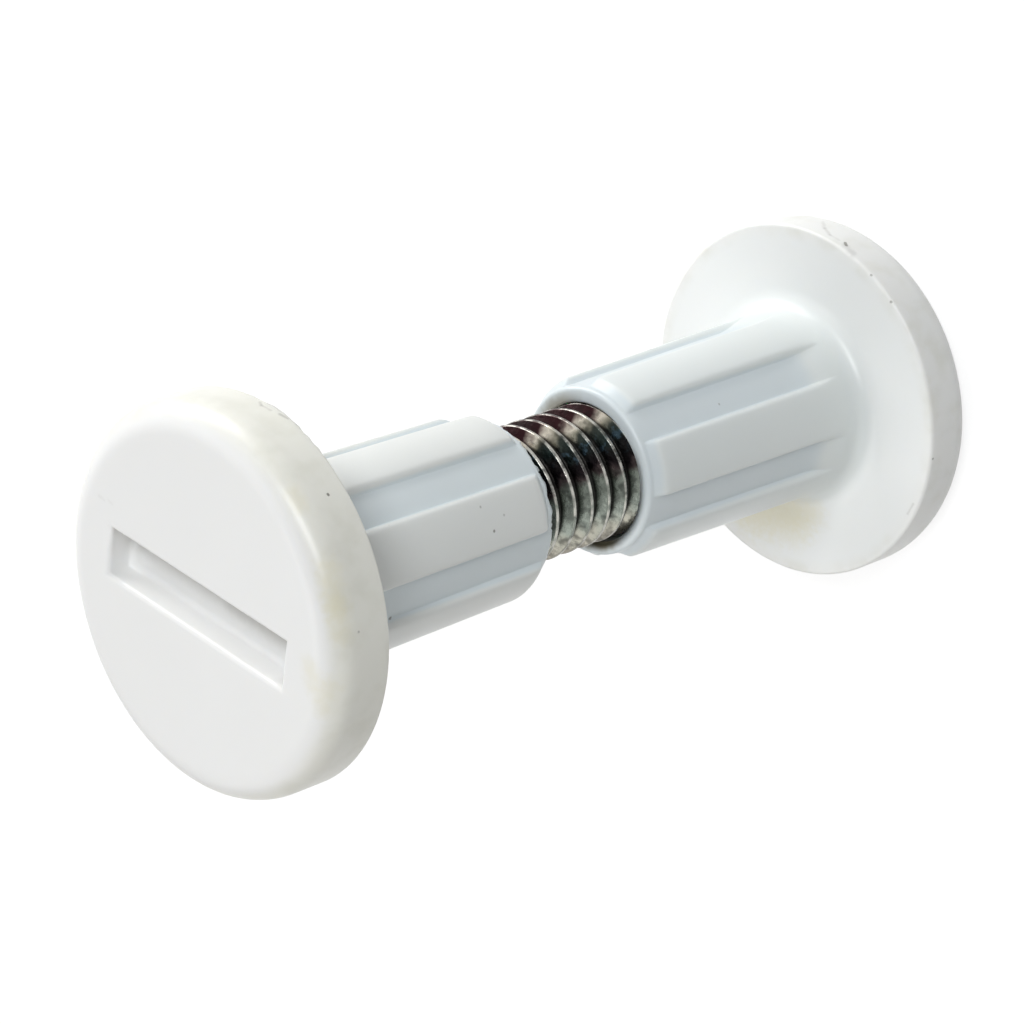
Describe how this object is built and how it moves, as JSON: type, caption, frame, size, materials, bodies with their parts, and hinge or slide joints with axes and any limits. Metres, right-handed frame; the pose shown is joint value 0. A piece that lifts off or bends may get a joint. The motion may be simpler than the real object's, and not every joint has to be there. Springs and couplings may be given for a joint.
{
  "type": "binding screw",
  "caption": "White plastic cabinet binding screw: a slotted head and ribbed barrel on a threaded steel stud, turned into a ribbed sleeve to clamp panels.",
  "frame": {"origin": "centre of the sleeve head's outer face, on which the screw stands", "axes": "+Z along the screw's axis, from the sleeve's head up to the slotted half's head; +X along the slotted half's driver slot"},
  "size_m": [0.016, 0.016, 0.0371],
  "materials": {
    "white_plastic": "satin white moulded plastic",
    "zinc_plated_steel": "zinc plated, rolled thread, slightly oily"
  },
  "bodies": {
    "sleeve": {"sleeve_half": "white_plastic"},
    "stud": {"threaded_stud": "zinc_plated_steel"},
    "slotted": {"slotted_half": "white_plastic"}
  },
  "joints": [
    {"name": "stud_travel", "type": "slide", "parent": "sleeve", "child": "stud", "axis": [0, 0, 1], "range_m": [-0.0054, 0.005]},
    {"name": "slotted_half_turn", "type": "hinge", "parent": "stud", "child": "slotted", "pos_m": [0, 0, 0.0371], "axis": [0, 0, 1], "range_deg": [-1944, 1800]}
  ],
  "couplings": [
    {"joint": "slotted_half_turn", "follows": "stud_travel", "rad_per_m": 6283.2}
  ]
}
